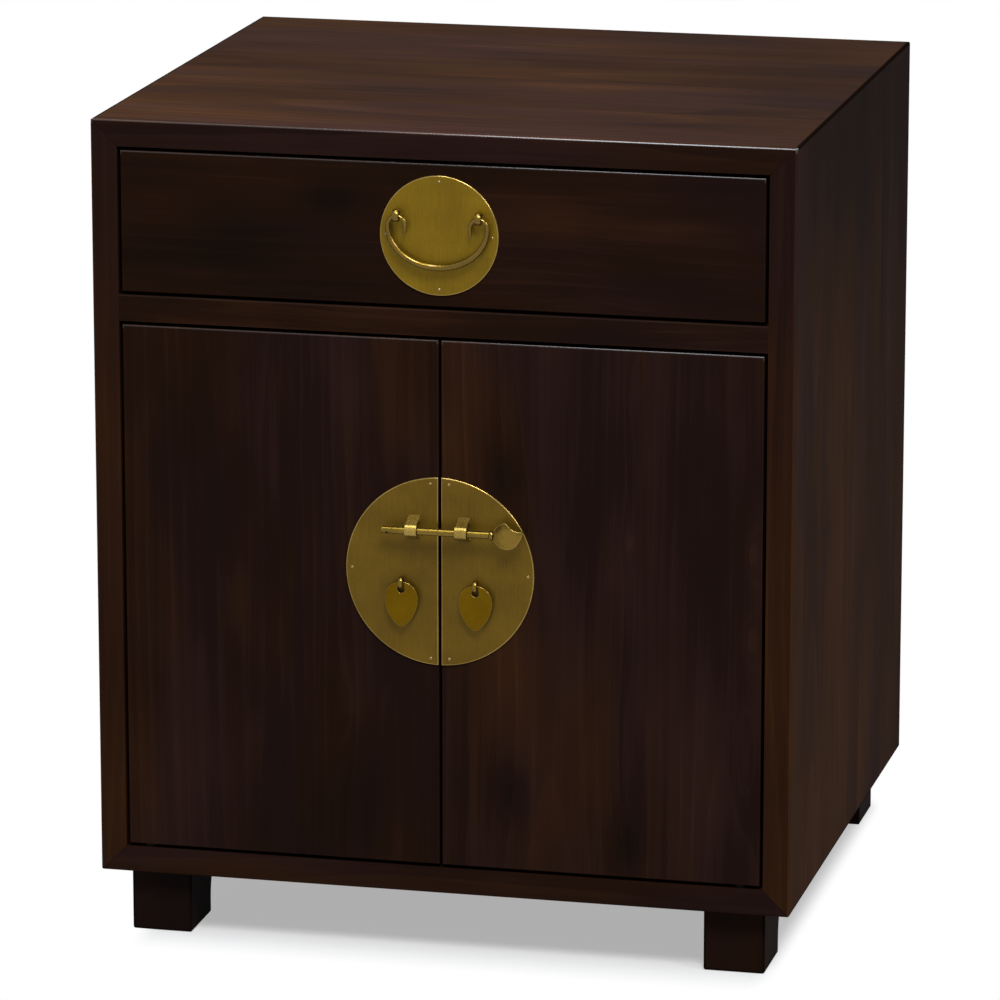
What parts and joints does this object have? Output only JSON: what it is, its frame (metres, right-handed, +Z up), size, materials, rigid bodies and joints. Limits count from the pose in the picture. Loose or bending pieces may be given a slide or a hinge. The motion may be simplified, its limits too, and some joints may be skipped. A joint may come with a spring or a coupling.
{
  "type": "chinese cabinet",
  "caption": "Low dark wooden cabinet with a bail-handled drawer over a pair of pivot doors held by a sliding brass bolt.",
  "frame": {"origin": "on the floor, at the middle of the whole cabinet's width and of its depth with its hardware", "axes": "+X to the viewer's right, +Y to the back, +Z up; the front faces -Y"},
  "size_m": [0.559, 0.5184, 0.661],
  "materials": {
    "stained_wood": "dark espresso stain under a satin lacquer",
    "drawer_wood": "thinly stained, waxed",
    "panel_wood": "stained thin panel, matt",
    "aged_brass": "aged brass, satin, softly polished on the edges",
    "screw_steel": "zinc plated"
  },
  "bodies": {
    "cabinet": {"top_board": "stained_wood", "bottom_board": "stained_wood", "left_side": "stained_wood", "right_side": "stained_wood", "mitre_splines": "drawer_wood", "back_panel": "panel_wood", "back_panel_screws": "screw_steel", "mid_rail": "stained_wood", "drawer_runner_left": "drawer_wood", "drawer_runner_right": "drawer_wood", "runner_screws": "screw_steel", "drawer_stops": "drawer_wood", "door_stop_strip": "stained_wood", "shelf": "stained_wood", "shelf_pins": "aged_brass", "foot_front_left": "stained_wood", "foot_front_right": "stained_wood", "foot_rear_left": "stained_wood", "foot_rear_right": "stained_wood", "foot_screws": "screw_steel", "door_pivot_pins": "aged_brass", "door_pivot_washers": "aged_brass"},
    "drawer": {"drawer_front": "stained_wood", "drawer_side_left": "drawer_wood", "drawer_side_right": "drawer_wood", "drawer_back": "drawer_wood", "drawer_bottom": "panel_wood", "drawer_plate": "aged_brass", "drawer_plate_nails": "aged_brass", "bail_eye_left": "aged_brass", "bail_eye_right": "aged_brass"},
    "bail": {"drawer_bail": "aged_brass"},
    "left_door": {"left_door": "stained_wood", "left_door_bushes": "aged_brass", "left_door_plate": "aged_brass", "left_plate_nails": "aged_brass", "left_staple": "aged_brass", "left_pendant_eye": "aged_brass"},
    "right_door": {"right_door": "stained_wood", "right_door_bushes": "aged_brass", "right_door_plate": "aged_brass", "right_plate_nails": "aged_brass", "right_staple": "aged_brass", "right_pendant_eye": "aged_brass"},
    "bolt": {"slide_bolt": "aged_brass"},
    "left_pendant": {"left_pendant": "aged_brass"},
    "right_pendant": {"right_pendant": "aged_brass"}
  },
  "joints": [
    {"name": "drawer_slide", "type": "slide", "parent": "cabinet", "child": "drawer", "axis": [0, -1, 0], "range_m": [0, 0.3]},
    {"name": "bail_swing", "type": "hinge", "parent": "drawer", "child": "bail", "pos_m": [0, -0.2485, 0.59615], "axis": [-1, 0, 0], "range_deg": [0, 170]},
    {"name": "left_door_hinge", "type": "hinge", "parent": "cabinet", "child": "left_door", "pos_m": [-0.2397, -0.2338, 0.0758], "axis": [0, 0, -1], "range_deg": [0, 120]},
    {"name": "right_door_hinge", "type": "hinge", "parent": "cabinet", "child": "right_door", "pos_m": [0.2397, -0.2338, 0.0758], "axis": [0, 0, 1], "range_deg": [0, 120]},
    {"name": "bolt_slide", "type": "slide", "parent": "right_door", "child": "bolt", "axis": [1, 0, 0], "range_m": [0, 0.05]},
    {"name": "left_pendant_swing", "type": "hinge", "parent": "left_door", "child": "left_pendant", "pos_m": [-0.0298, -0.2482, 0.30468], "axis": [-1, 0, 0], "range_deg": [0, 150]},
    {"name": "right_pendant_swing", "type": "hinge", "parent": "right_door", "child": "right_pendant", "pos_m": [0.0298, -0.2482, 0.30468], "axis": [-1, 0, 0], "range_deg": [0, 150]}
  ]
}
